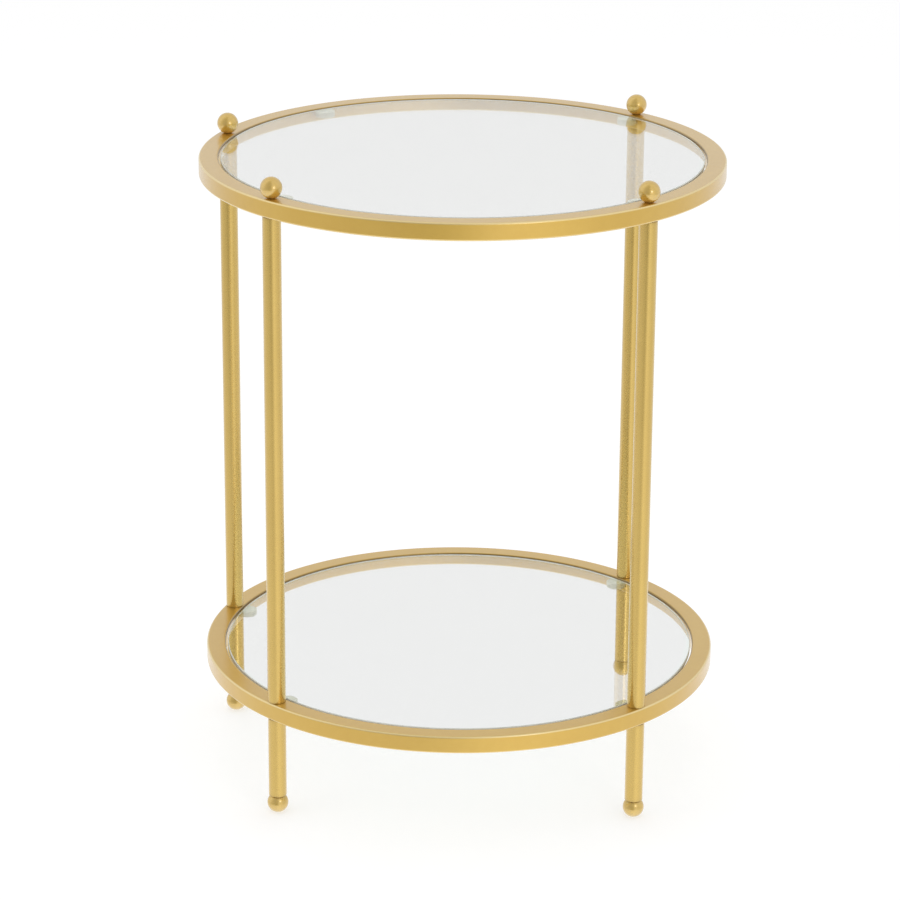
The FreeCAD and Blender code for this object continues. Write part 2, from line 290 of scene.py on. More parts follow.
def rounded_box(
    left: float, base: float, width: float, rise: float, bend: float, margins: Array
) -> Profile:
    """Section of a bar or a tube wall: a rectangle whose corners are quarter circles.

    It runs up the outer side, back along the top, down the inner side and out along the base.
    Each quarter circle is its middle plus the bend times (cos t, sin t) over a quarter turn of t.
    The painted highlight mark is the sine of twice the angle run through, so it peaks half way
    round.

    Args:
        left: Radius of the inner side.
        base: Height of the base.
        width: Width of the section.
        rise: Height of the section.
        bend: Radius of the corners.
        margins: Distances from the corners at which the flat sides get points.

    Returns:
        The closed section, with no painted shade marked.
    """
    quarter = np.linspace(0.0, QUARTER_TURN, CORNER_STEPS)
    inner, outer = left + bend, left + width - bend
    lower, upper = base + bend, base + rise - bend
    middles = np.array([[outer, lower], [outer, upper], [inner, upper], [inner, lower]])
    spans = np.array([rise, width, rise, width]) - 2.0 * bend
    runs, corners = [], []
    for step, (middle, span) in enumerate(zip(middles, spans)):
        turn = quarter + (step - 1) * QUARTER_TURN
        arc = middle + bend * np.stack([np.cos(turn), np.sin(turn)], axis=-1)
        ahead = np.array([-np.sin(turn[-1]), np.cos(turn[-1])])
        flat = arc[-1] + stations(span, margins)[:, None] * ahead
        runs += [arc, flat]
        # The painted highlight peaks half way round each rounded bend
        corners += [np.sin(2.0 * quarter), np.zeros(len(flat))]
    points = np.concatenate(runs)
    painted_highlight = np.concatenate(corners)
    return Profile(points[:, 0], points[:, 1], painted_highlight, np.zeros(len(points)), True)


# Shader groups and node sheets

class Sheet:
    """Adds and links the nodes of one tree."""

    def __init__(self, tree: NodeTree) -> None:
        """Keeps the tree and clears it."""
        self.tree = tree
        tree.nodes.clear()

    def add(
        self, kind: str, settings: dict[str, Any] | None = None, *values: Any, **inputs: Any
    ) -> Node:
        """Adds one node.

        Args:
            kind: The node's type, without the leading word ShaderNode.
            settings: Values of the node's own properties.
            *values: Values for the node's first inputs, or outputs of other nodes to link there.
            **inputs: The same for inputs by name. An underscore stands for a blank.

        Returns:
            The node.
        """
        node = self.tree.nodes.new("ShaderNode" + kind)
        for name, value in (settings or {}).items():
            setattr(node, name, value)
        for socket, value in zip(node.inputs, values):
            self.feed(socket, value)
        for name, value in inputs.items():
            self.feed(node.inputs[name.replace("_", " ")], value)
        return node

    def feed(self, socket: Socket, value: Any) -> None:
        """Links a socket or sets it.

        Args:
            socket: The input.
            value: Another node's output to link there, or a plain value.
        """
        if isinstance(value, Socket):
            self.tree.links.new(value, socket)
        else:
            socket.default_value = value

    def math(self, operation: str, *values: Any) -> Socket:
        """Adds a Math node over one or two values and returns its output."""
        return self.add("Math", {"operation": operation}, *values).outputs[0]

    def spread(self, value: Any, low: float, high: float) -> Socket:
        """Stretches a value that runs from 0 to 1 over a range and returns the output."""
        return self.add("MapRange", Value=value, To_Min=low, To_Max=high).outputs["Result"]

    def within(self, value: Any, low: float, high: float, kind: str = "LINEAR") -> Socket:
        """Finds where a value lies in a range, from 0 to 1, and returns the output."""
        node = self.add(
            "MapRange", {"interpolation_type": kind}, Value=value, From_Min=low, From_Max=high
        )
        return node.outputs["Result"]

    def blend(self, share: Any, under: Any, over: Any) -> Socket:
        """Mixes two colours.

        Args:
            share: Share of the second colour.
            under: The first colour.
            over: The second colour.

        Returns:
            The mixed colour.
        """
        node = self.add("Mix", {"data_type": "RGBA"})
        self.feed(node.inputs["Factor"], share)
        for name, value in (("A", under), ("B", over)):
            socket = next(s for s in node.inputs if s.name == name and s.type == "RGBA")
            self.feed(socket, value)
        return next(s for s in node.outputs if s.type == "RGBA")

    def between(self, share: Any, under: Any, over: Any) -> Socket:
        """Mixes two values by a share and returns the output."""
        node = self.add("Mix", {"data_type": "FLOAT"}, Factor=share, A=under, B=over)
        return node.outputs["Result"]

    def either(self, share: Any, under: Socket, over: Socket) -> Socket:
        """Mixes two shaders by a share and returns the output."""
        return self.add("MixShader", None, share, under, over).outputs[0]

    def curve(self, value: Any, stops: Levels) -> Socket:
        """Looks a value from 0 to 1 up in a smooth run of levels.

        Args:
            value: The place along the run.
            stops: Places and the levels there, in order.

        Returns:
            The level.
        """
        node = self.add("ValToRGB", Fac=value)
        run = node.color_ramp
        run.interpolation = "EASE"
        for place, _ in stops[1:-1]:
            run.elements.new(place)
        for element, (place, level) in zip(run.elements, stops):
            element.position, element.color = place, opaque((level, level, level))
        return node.outputs["Color"]

    def group(self, tree: NodeTree, **inputs: Any) -> Node:
        """Places a shader group with its own values and returns the node."""
        return self.add("Group", {"node_tree": tree}, **inputs)

    def mark(self, mark: Mark) -> Socket:
        """Adds one of the mesh's marks and returns its value."""
        return self.add("Attribute", {"attribute_name": mark.value}).outputs["Fac"]


def opaque(colour: Colour) -> tuple[float, float, float, float]:
    """A colour with full alpha."""
    return (*colour, 1.0)


def new_material(name: str) -> tuple[Material, Sheet, Node]:
    """Starts a node material.

    Args:
        name: Name of the material.

    Returns:
        The material, the sheet that fills it and its output node.
    """
    made = bpy.data.materials.new(name)
    made.use_nodes = True
    sheet = Sheet(made.node_tree)
    return made, sheet, sheet.add("OutputMaterial")


def new_group(name: str, inputs: dict[str, str], outputs: dict[str, str]) -> tuple[NodeTree, Sheet]:
    """Starts a shader group.

    Args:
        name: Name of the group.
        inputs: Socket kinds by input name, such as Float or Vector.
        outputs: Socket kinds by output name.

    Returns:
        The group and the sheet that fills it.
    """
    tree = bpy.data.node_groups.new(name, "ShaderNodeTree")
    sheet = Sheet(tree)
    for way, sockets in (("INPUT", inputs), ("OUTPUT", outputs)):
        for socket, kind in sockets.items():
            tree.interface.new_socket(name=socket, in_out=way, socket_type="NodeSocket" + kind)
    return tree, sheet


@cache
def mottle_group() -> NodeTree:
    """Slow and quick drift of a coat's tone: two noises, added with unequal weight.

    Returns:
        A group that takes Place, Broad Scale and Fine Scale and gives Tone, about 0 to 1.
    """
    tree, sheet = new_group(
        "coat_mottle",
        {"Place": "Vector", "Broad Scale": "Float", "Fine Scale": "Float"},
        {"Tone": "Float"},
    )
    source = tree.nodes.new("NodeGroupInput").outputs
    layers = []
    for scale, detail, weight in MOTTLE_LAYERS:
        noise = sheet.add("TexNoise", Vector=source["Place"], Scale=source[scale], Detail=detail)
        layers.append(sheet.math("MULTIPLY", noise.outputs[0], weight))
    tone = sheet.within(sheet.math("ADD", *layers), *MOTTLE_RANGE)
    sheet.feed(tree.nodes.new("NodeGroupOutput").inputs["Tone"], tone)
    return tree


@cache
def grain_group() -> NodeTree:
    """Fine satin grain: a sharp noise for the height, and a wider one for the polish.

    Returns:
        A group that takes Place and Scale and gives Height and Polish, about 0 to 1.
    """
    tree, sheet = new_group(
        "satin_grain",
        {"Place": "Vector", "Scale": "Float"},
        {"Height": "Float", "Polish": "Float"},
    )
    source = tree.nodes.new("NodeGroupInput").outputs
    height = sheet.add(
        "TexNoise",
        Vector=source["Place"],
        Scale=source["Scale"],
        Detail=GRAIN_DETAIL,
        Roughness=GRAIN_ROUGHNESS,
    )
    wide = sheet.math("MULTIPLY", source["Scale"], POLISH_SCALE_SHARE)
    polish = sheet.add("TexNoise", Vector=source["Place"], Scale=wide, Detail=POLISH_DETAIL)
    target = tree.nodes.new("NodeGroupOutput").inputs
    sheet.feed(target["Height"], height.outputs[0])
    sheet.feed(target["Polish"], polish.outputs[0])
    return tree


# Finishes

@dataclass(frozen=True, kw_only=True)
class GrainedFinish:
    """A surface of two tones that drift into each other, under a fine grain.

    Attributes:
        tones: The two tones.
        polish: Lowest and highest roughness.
        drift: Scales of the slow and the quick drift of tone.
        grain_scale: Scale of the grain.
        grain_depth: Depth of the grain.
        grain_strength: How much of that depth shows.
        metal: Share of metal.
        clear: Share of light that passes through.
        bend: Index of refraction.
    """

    name: str
    tones: tuple[Colour, Colour]
    polish: Span
    drift: Span
    grain_scale: float
    grain_depth: float
    grain_strength: float = 0.3
    metal: float = 0.0
    clear: float = 0.0
    bend: float = 1.5

    def tint(self, sheet: Sheet, tone: Socket) -> Socket:
        """Colour of the surface: the drifting tone as it is."""
        return tone

    def topcoat(self) -> dict[str, float]:
        """Shader inputs of a coat over the surface: none."""
        return {}

    def material(self) -> Material:
        """Builds the material.

        Returns:
            A material with drifting colour, uneven polish and a fine bump.
        """
        made, sheet, output = new_material(self.name)
        place = sheet.add("TexCoord").outputs["Object"]
        broad, fine = self.drift
        mottle = sheet.group(mottle_group(), Place=place, Broad_Scale=broad, Fine_Scale=fine)
        grain = sheet.group(grain_group(), Place=place, Scale=self.grain_scale).outputs
        tone = sheet.blend(mottle.outputs["Tone"], *map(opaque, self.tones))
        bump = sheet.add(
            "Bump", Strength=self.grain_strength, Distance=self.grain_depth, Height=grain["Height"]
        )
        skin = sheet.add(
            "BsdfPrincipled",
            Base_Color=self.tint(sheet, tone),
            Metallic=self.metal,
            Roughness=sheet.spread(grain["Polish"], *self.polish),
            IOR=self.bend,
            Transmission_Weight=self.clear,
            Normal=bump.outputs["Normal"],
            **self.topcoat(),
        )
        sheet.feed(output.inputs["Surface"], skin.outputs[0])
        return made


@dataclass(frozen=True, kw_only=True)
class GoldFinish(GrainedFinish):
    """Satin gold under a clear lacquer, with painted highlights on corners, painted shade in
    joints.

    Attributes:
        joint_shade: Colour of the painted shade in marked joints.
        painted_highlight: Colour of the painted highlight to which marked corners turn, if they do.
        painted_highlight_share: How far a fully marked vertex turns to the painted highlight.
        lacquer: Roughness of the lacquer.
        lacquer_bend: The lacquer's index of refraction.
    """

    joint_shade: Colour
    painted_highlight: Colour | None = None
    painted_highlight_share: float = 0.8
    lacquer: float = 0.22
    lacquer_bend: float = 1.6
    drift: Span = (14.0, 130.0)
    grain_scale: float = 1400.0
    grain_depth: float = 0.02 * MM
    grain_strength: float = 0.08
    metal: float = 0.8

    def tint(self, sheet: Sheet, tone: Socket) -> Socket:
        """Adds the painted highlights of corners and the painted shade of joints to the drifting
        tone.

        Args:
            sheet: The material's sheet.
            tone: The drifting tone.

        Returns:
            The colour.
        """
        # Painted highlight where the skin is marked
        if self.painted_highlight:
            share = sheet.math("MULTIPLY", sheet.mark(Mark.CORNER), self.painted_highlight_share)
            tone = sheet.blend(share, tone, opaque(self.painted_highlight))
        # Painted shade where the skin is marked as joined
        return sheet.blend(sheet.mark(Mark.JOINT_SHADE), tone, opaque(self.joint_shade))

    def topcoat(self) -> dict[str, float]:
        """Shader inputs of the lacquer."""
        return {"Coat_Weight": 1.0, "Coat_Roughness": self.lacquer, "Coat_IOR": self.lacquer_bend}


@dataclass(frozen=True, kw_only=True)
class GlassFinish:
    """Clear float glass, greener towards its ground rim, with faint smears.

    Attributes:
        clear: Tint of the middle.
        rim: Tint at the rim.
        shade: What is left of light that goes straight through.
        bend: Index of refraction.
        tint_reach: How far the rim's tint reaches inwards.
        smear: Highest roughness of the smears.
        drift: Scales of the smears, slow and quick.
        film: Weight of a coat that adds gloss to the faces.
    """

    name: str
    clear: Colour
    rim: Colour
    rim_radius: float
    shade: Colour
    bend: float = 1.52
    tint_reach: float = 6.0 * MM
    smear: float = 0.012
    drift: Span = (9.0, 60.0)
    film: float = 0.6

    def material(self) -> Material:
        """Builds the material.

        Returns:
            A glass that lets the lamps' light, and what the metal mirrors, straight through.
        """
        made, sheet, output = new_material(self.name)
        place = sheet.add("TexCoord").outputs["Object"]
        apart = sheet.add("SeparateXYZ", Vector=place).outputs
        square = sheet.math(
            "ADD",
            sheet.math("MULTIPLY", apart["X"], apart["X"]),
            sheet.math("MULTIPLY", apart["Y"], apart["Y"]),
        )
        radius = sheet.math("SQRT", square)
        rim = sheet.within(radius, self.rim_radius - self.tint_reach, self.rim_radius)
        broad, fine = self.drift
        mottle = sheet.group(mottle_group(), Place=place, Broad_Scale=broad, Fine_Scale=fine)
        pane = sheet.add(
            "BsdfPrincipled",
            Base_Color=sheet.blend(rim, opaque(self.clear), opaque(self.rim)),
            Roughness=sheet.spread(mottle.outputs["Tone"], 0.0, self.smear),
            IOR=self.bend,
            Transmission_Weight=1.0,
            Coat_Weight=self.film,
            Coat_Roughness=0.0,
        ).outputs[0]
        window = sheet.add("BsdfTransparent", Color=opaque(self.shade)).outputs[0]
        path = sheet.add("LightPath").outputs
        lit = sheet.either(path["Is Diffuse Ray"], pane, window)
        inside = sheet.math("MODULO", path["Transmission Depth"], FACES_PER_PANE)
        mirrored = sheet.either(inside, window, pane)
        bounced = sheet.either(path["Is Transmission Ray"], mirrored, pane)
        seen = sheet.either(path["Is Glossy Ray"], lit, bounced)
        sheet.feed(output.inputs["Surface"], sheet.either(path["Is Shadow Ray"], seen, window))
        return made


@dataclass(frozen=True)
class Finishes:
    """Every finish of the table."""

    frame: GoldFinish = GoldFinish(
        name="satin_gold_hoop",
        tones=((0.68, 0.425, 0.062), (0.72, 0.465, 0.076)),
        # Painted highlight along the hoop's rounded edges
        painted_highlight=(0.96, 0.80, 0.42),
        # Painted shadow in the gap round the glass
        joint_shade=(0.28, 0.18, 0.05),
        polish=(0.34, 0.42),
    )
    tube: GoldFinish = GoldFinish(
        name="satin_gold_tube",
        tones=((0.645, 0.425, 0.070), (0.685, 0.460, 0.084)),
        # Painted shade at the tube's ends, where it meets a hoop or a foot
        joint_shade=(0.34, 0.21, 0.03),
        polish=(0.24, 0.30),
        lacquer_bend=1.75,
    )
    ball: GoldFinish = GoldFinish(
        name="satin_gold_ball",
        tones=((0.69, 0.450, 0.080), (0.73, 0.490, 0.095)),
        # Painted light on the ball's underside
        painted_highlight=(0.98, 0.80, 0.40),
        # Painted shade under the foot's upper flat, where the leg meets it
        joint_shade=(0.46, 0.27, 0.03),
        polish=(0.35, 0.41),
        lacquer=0.10,
        lacquer_bend=1.85,
        metal=0.7,
        grain_depth=0.012 * MM,
    )
    glass: GlassFinish = GlassFinish(
        name="clear_float_glass",
        clear=(0.864, 0.872, 0.866),
        rim=(0.84, 0.90, 0.87),
        rim_radius=233.0 * MM,
        shade=(0.92, 0.94, 0.93),
    )
    ground: GrainedFinish = GrainedFinish(
        name="ground_glass_edge",
        tones=((0.87, 0.86, 0.76), (0.75, 0.75, 0.65)),
        polish=(0.45, 0.65),
        drift=(60.0, 900.0),
        grain_scale=4000.0,
        grain_depth=0.03 * MM,
        clear=0.2,
        bend=1.52,
    )
    sleeve: GrainedFinish = GrainedFinish(
        name="soft_clear_sleeve",
        tones=((0.86, 0.84, 0.60), (0.76, 0.74, 0.50)),
        polish=(0.38, 0.54),
        drift=(120.0, 500.0),
        grain_scale=2200.0,
        grain_depth=0.05 * MM,
        clear=0.25,
    )
    steel: GrainedFinish = GrainedFinish(
        name="zinc_plated_steel",
        tones=((0.66, 0.67, 0.68), (0.52, 0.53, 0.55)),
        polish=(0.28, 0.45),
        drift=(180.0, 700.0),
        grain_scale=2600.0,
        grain_depth=0.04 * MM,
        metal=1.0,
    )

    def materials(self) -> Materials:
        """Builds every material.

        Returns:
            Each slot's materials, the main one first.
        """
        made = {
            Slot.FRAME: [self.frame],
            Slot.TUBE: [self.tube],
            Slot.BALL: [self.ball],
            Slot.GLASS: [self.glass, self.ground],
            Slot.SLEEVE: [self.sleeve],
            Slot.STEEL: [self.steel],
        }
        return {slot: [finish.material() for finish in each] for slot, each in made.items()}


# Sub-assemblies

def box_of(node: str) -> tuple[Array, Array]:
    """Lowest and highest corner of a CAD node as arrays."""
    low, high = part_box(node)
    return np.array(low), np.array(high)


def round_of(node: str) -> tuple[float, float, float]:
    """Radius, base and top of a CAD node that is round about an upright axis."""
    low, high = box_of(node)
    return (high[0] - low[0]) / 2.0, low[2], high[2]


def axis_of(node: str) -> tuple[float, float]:
    """Place of the upright axis through the middle of a CAD node."""
    low, high = box_of(node)
    return float((low[0] + high[0]) / 2.0), float((low[1] + high[1]) / 2.0)


class Replacement:
    """A sub-assembly that stands for one CAD node as a single new piece.

    Attributes:
        slot: The record's slot that it belongs to.
        node: Name of the CAD node.
        body: Name of the CAD body that it moves with.
    """

    slot: ClassVar[Slot]
    node: str
    body: str = "frame"

    def build(self) -> Object:
        """Makes the piece, in each sub-assembly's own way."""
        raise NotImplementedError

    def dress(self, materials: Materials) -> None:
        """Builds the piece, dresses it and puts it on its body in place of the CAD node.

        Args:
            materials: Every slot's materials.
        """
        piece = self.build()
        for material in materials[self.slot]:
            piece.data.materials.append(material)
        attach(piece, self.body)
        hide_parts(self.node)
        faces = len(piece.data.polygons)
        log.info("%s stands for %s on %s, %d faces", piece.name, self.node, self.body, faces)


@dataclass
class Hoop(Replacement):
    """A hoop of rolled rectangular tube that holds one glass disc."""

    slot: ClassVar[Slot] = Slot.FRAME
    node: str
    name: str
    tube_width: float = 19.0 * MM
    corner_radius: float = 1.8 * MM
    turns: int = 320
    margins: Array = field(default_factory=lambda: np.array([0.25, 1.0]) * MM)
    # Painted shadow on the inner wall under the glass's edge: depths under the top, shares there
    shadow_depths: Array = field(default_factory=lambda: np.array([0.0, 0.6, 1.8, 3.0]) * MM)
    shadow_shares: tuple[float, ...] = (0.0, 1.0, 1.0, 0.0)

    def build(self) -> Object:
        """Carries the tube's section round the table's axis.

        The painted shade mark is the shadow in the gap round the glass: along the inner wall it
        follows the shares between the depths. No painted highlight is kept where that shadow lies.

        Returns:
            The piece.
        """
        outer, base, top = round_of(self.node)
        left = outer - self.tube_width
        section = rounded_box(
            left, base, self.tube_width, top - base, self.corner_radius, self.margins
        )
        inside = section.radius < outer - self.tube_width / 2.0
        # Painted shadow along the inner wall, below the glass's edge
        shadow = np.interp(top - section.height, self.shadow_depths, self.shadow_shares)
        section.joint_shade = np.where(inside, shadow, 0.0)
        section.painted_highlight = np.where(section.joint_shade > 0.0, 0.0, section.painted_highlight)
        return section.turned(TABLE_AXIS, self.turns).piece(self.name)


@dataclass
class LegTube(Replacement):
    """A length of round tube between two hoops, or between a hoop and a foot."""

    slot: ClassVar[Slot] = Slot.TUBE
    node: str
    name: str
    wall: float = 1.2 * MM
    end_radius: float = 0.55 * MM
    # Reach of the painted shade at the tube's ends
    joint_shade_reach: float = 0.9 * MM
    turns: int = 72
    margins: Array = field(
        default_factory=lambda: np.array([0.2, 0.6, 1.2, 2.0, 3.2, 5.0, 8.0]) * MM
    )

    def build(self) -> Object:
        """Turns the wall's section round the tube's axis.

        The painted end shade is exp(-d / r) at the distance d from the nearer end, for the reach r.

        Returns:
            The piece.
        """
        outer, base, top = round_of(self.node)
        left = outer - self.wall
        section = rounded_box(left, base, self.wall, top - base, self.end_radius, self.margins)
        # Painted shade at both ends, where the tube meets the next part
        depth = np.minimum(section.height - base, top - section.height)
        section.joint_shade = np.exp(-depth / self.joint_shade_reach)
        return section.turned(axis_of(self.node), self.turns).piece(self.name)


@dataclass
class TurnedBall(Replacement):
    """A turned ball with flats where it is seated, as a finial or as a foot."""

    slot: ClassVar[Slot] = Slot.BALL
    node: str
    name: str
    low_flat: float
    high_flat: float
    edge: float = 0.12 * MM
    edge_spacing: float = 3.0
    # Reach of the painted shade under the upper flat
    joint_shade_reach: float = 0.5 * MM
    # Reach of the painted light that brightens the underside
    painted_glow_reach: float = 2.5 * MM
    rows: int = 44
    turns: int = 72

    def flat_rows(self, flat: float) -> Array:
        """Radii of the rows across a flat from its middle out, or the pole where there is none."""
        rows = [0.0, flat - self.edge_spacing * self.edge, flat - self.edge] if flat else [0.0]
        return np.array(rows)

    def profile(self) -> Profile:
        """Half outline of the ball.

        Between its flats it is (R sin t, -R cos t) about the ball's middle, for the angle t from
        the lower flat's edge to the upper one's, or to a pole where the upper flat is 0. A narrow
        bevel leads from each flat to the round, with a row close by on either side. The painted
        shade mark is exp(-d / r) at the depth d under an upper flat. The painted highlight mark,
        light painted on to brighten the underside, is the same at the height above the lower flat.

        Returns:
            The outline from the lower pole to the upper one.
        """
        ball, base, _ = round_of(self.node)
        start = np.arcsin(self.low_flat / ball)
        end = np.pi - np.arcsin(self.high_flat / ball)
        middle = base + ball * np.cos(start)
        step = self.edge / ball
        margin = self.edge_spacing * step
        round_rows = np.linspace(start + margin, end - margin, self.rows)
        turn = np.concatenate([[start + step], round_rows, [end - step]])
        below, above = self.flat_rows(self.low_flat), self.flat_rows(self.high_flat)[::-1]
        radius = np.concatenate([below, ball * np.sin(turn), above])
        height = np.concatenate(
            [
                np.full(len(below), middle - ball * np.cos(start)),
                middle - ball * np.cos(turn),
                np.full(len(above), middle - ball * np.cos(end)),
            ]
        )
        joint_shade = np.zeros(len(height))
        # Painted shade under the upper flat, where the leg meets the ball
        if self.high_flat:
            joint_shade = np.exp((height - height[-1]) / self.joint_shade_reach)
        # Painted light on the underside, fading up from the lower flat
        painted_glow = np.exp((height[0] - height) / self.painted_glow_reach)
        return Profile(radius, height, painted_glow, joint_shade, False)

    def build(self) -> Object:
        """Turns the outline round the ball's axis and returns the piece."""
        return self.profile().turned(axis_of(self.node), self.turns).piece(self.name)


@dataclass
class GlassPane(Replacement):
    """A glass disc with a ground and bevelled rim, which lifts out of its hoop."""

    slot: ClassVar[Slot] = Slot.GLASS
    tier: Tier
    bevel: float = 0.7 * MM
    crease: float = 0.06 * MM
    crease_spacing: float = 4.0
    first_ground_band: int = 2
    last_ground_band: int = 8
    turns: int = 320

    @property
    def node(self) -> str:
        """Name of the CAD node that the pane stands for."""
        return self.tier.value + "_glass"

    @property
    def body(self) -> str:
        """Name of the pane's own body, which is the node's name."""
        return self.node

    def build(self) -> Object:
        """Turns the pane's half section round the table's axis.

        The section runs out along the lower face, up a bevel, the rim and a second bevel, and
        back along the upper face. Each crease is two rows close together, with one more row on the
        flat beside it, so that the flats stay flat when shaded. The bands of faces from the lower
        bevel to the upper one are ground.

        Returns:
            The piece.
        """
        rim, base, top = round_of(self.node)
        near = self.crease
        slope = near * DIAGONAL
        inner, lower = rim - self.bevel, base + self.bevel
        half = np.array(
            [
                [0.0, base],
                [inner - self.crease_spacing * near, base],
                [inner - near, base],
                [inner + slope, base + slope],
                [rim - slope, lower - slope],
                [rim, lower + near],
                [rim, lower + self.crease_spacing * near],
            ]
        )
        other = half[::-1] * [1.0, -1.0] + [0.0, base + top]
        radius, height = np.concatenate([half, other]).T
        bare = np.zeros(len(radius))
        skin = Profile(radius, height, bare, bare, False).turned(TABLE_AXIS, self.turns)
        pane = skin.piece(self.tier.value + "_pane")
        band = np.arange(len(skin.faces)) // self.turns
        ground = (band >= self.first_ground_band) & (band <= self.last_ground_band)
        pane.data.polygons.foreach_set("material_index", ground.astype(np.int32))
        return pane


@dataclass
class SoftSleeve(Replacement):
    """A soft moulded sleeve, pulled over a steel tab like the finger of a glove."""

    slot: ClassVar[Slot] = Slot.SLEEVE
    tier: Tier
    leg: Leg
    angle: float
    wall_radius: float = 235.0 * MM
    end_gap: float = 0.5 * MM
    half_width: float = 10.0 * MM
    nose_start: float = 4.0 * MM
    pocket_half_width: float = 8.35 * MM
    pocket_half_height: float = 1.45 * MM
    lip: float = 0.6 * MM
    lip_steps: int = 5
    skin_power: float = 0.3
    pocket_power: float = 0.2
    tip_power: int = 4
    columns: int = 64
    rows: int = 26

    @property
    def node(self) -> str:
        """Name of the CAD node that the sleeve stands for."""
        return "%s_sleeve_%s" % (self.tier.value, self.leg.value)

    def taper(self, reach: Array, half_width: float, half_height: float) -> tuple[Array, Array]:
        """Half width and half height of the sleeve at a distance from the hoop's wall.

        The plan is a half circle past the nose's start, w sqrt(1 - s^2), and the side view closes
        like a superellipse over the last stretch, as long as the half height.

        Args:
            reach: Distances from the hoop's wall.
            half_width: Half width before the nose.
            half_height: Half height before the tip.

        Returns:
            The half widths and the half heights.
        """
        tip = self.nose_start + half_width
        nose = ((reach - self.nose_start) / half_width).clip(0.0, 1.0)
        end = ((reach - (tip - half_height)) / half_height).clip(0.0, 1.0)
        closing = (1.0 - end**self.tip_power) ** (1.0 / self.tip_power)
        return half_width * np.sqrt(1.0 - nose**2), half_height * closing

    def ovals(self, reach: Array, wide: Array, tall: Array, power: float, middle: float) -> Array:
        """Rows of superellipses, square to the tab.

        Each row is (a |cos u|^p, b |sin u|^p) with the signs of the cosine and the sine, at one
        distance from the hoop's wall, and then turned to the tab's angle.

        Args:
            reach: Distance of each row from the hoop's wall.
            wide: Half width of each row.
            tall: Half height of each row.
            power: The power p; the smaller, the squarer.
            middle: Height of the sleeve's middle.

        Returns:
            The rows of points.
        """
        half_step = np.pi / self.columns
        turn = np.linspace(0.0, FULL_TURN, self.columns, endpoint=False) + half_step
        across = np.sign(np.cos(turn)) * np.abs(np.cos(turn)) ** power
        upward = np.sign(np.sin(turn)) * np.abs(np.sin(turn)) ** power
        out = np.array([np.cos(self.angle), np.sin(self.angle), 0.0])
        side = np.array([-out[1], out[0], 0.0])
        up = np.array([0.0, 0.0, 1.0])
        return (
            (self.wall_radius - reach)[:, None, None] * out
            + (wide[:, None] * across)[..., None] * side
            + (tall[:, None] * upward + middle)[..., None] * up
        )

    def build(self) -> Object:
        """Joins the pocket, the lip at the hoop and the outer skin into one closed surface.

        The rows of the pocket and of the skin lie at the sines of equal steps of a quarter turn,
        so they crowd towards the tip. The lip is a quarter circle between them.

        Returns:
            The piece.
        """
        low, high = box_of(self.node)
        middle, half_height = (low[2] + high[2]) / 2.0, (high[2] - low[2]) / 2.0
        ease = np.sin(np.linspace(0.0, QUARTER_TURN, self.rows))
        pocket_tip = self.nose_start + self.pocket_half_width
        tip = self.nose_start + self.half_width
        inside = (self.end_gap + (pocket_tip - self.end_gap) * ease)[::-1][1:]
        outside = (self.end_gap + self.lip + (tip - self.end_gap - self.lip) * ease)[:-1]
        bend = np.linspace(0.0, QUARTER_TURN, self.lip_steps)[-2::-1]
        edge = self.end_gap + self.lip * (1.0 - np.sin(bend))
        drawn_in = self.lip * (1.0 - np.cos(bend))
        pocket_sizes = self.taper(inside, self.pocket_half_width, self.pocket_half_height)
        skin_sizes = self.taper(outside, self.half_width, half_height)
        lip_sizes = (self.half_width - drawn_in, half_height - drawn_in)
        grid = np.concatenate(
            [
                self.ovals(inside, *pocket_sizes, self.pocket_power, middle),
                self.ovals(edge, *lip_sizes, self.skin_power, middle),
                self.ovals(outside, *skin_sizes, self.skin_power, middle),
            ]
        )
        out = np.array([np.cos(self.angle), np.sin(self.angle)])
        poles = [[*(out * (self.wall_radius - reach)), middle] for reach in (pocket_tip, tip)]
        points = np.concatenate([grid.reshape(-1, 3), np.array(poles)])
        bare = np.zeros(len(points))
        skin = Skin(points, capped(len(grid), self.columns), bare, bare)
        return skin.piece("%s_pad_%s" % (self.tier.value, self.leg.value))


@dataclass
class Hardware:
    """The tabs, plugs and studs, whose solids show as they are."""

    tabs: tuple[str, ...]
    steel: tuple[str, ...] = (
        "leg_bottom_plugs",
        "leg_top_plugs",
        "post_bottom_plugs",
        "post_top_plugs",
        "foot_studs",
        "leg_studs",
        "finial_studs",
    )

    def dress(self, materials: Materials) -> None:
        """Gives each node its finish.

        Args:
            materials: Every slot's materials.
        """
        for slot, nodes in ((Slot.FRAME, self.tabs), (Slot.STEEL, self.steel)):
            for node in nodes:
                solid = frame["nodes"][node]
                solid.data.materials.clear()
                solid.data.materials.append(materials[slot][0])
                log.info("%s keeps its solid, in %s", node, slot.value)


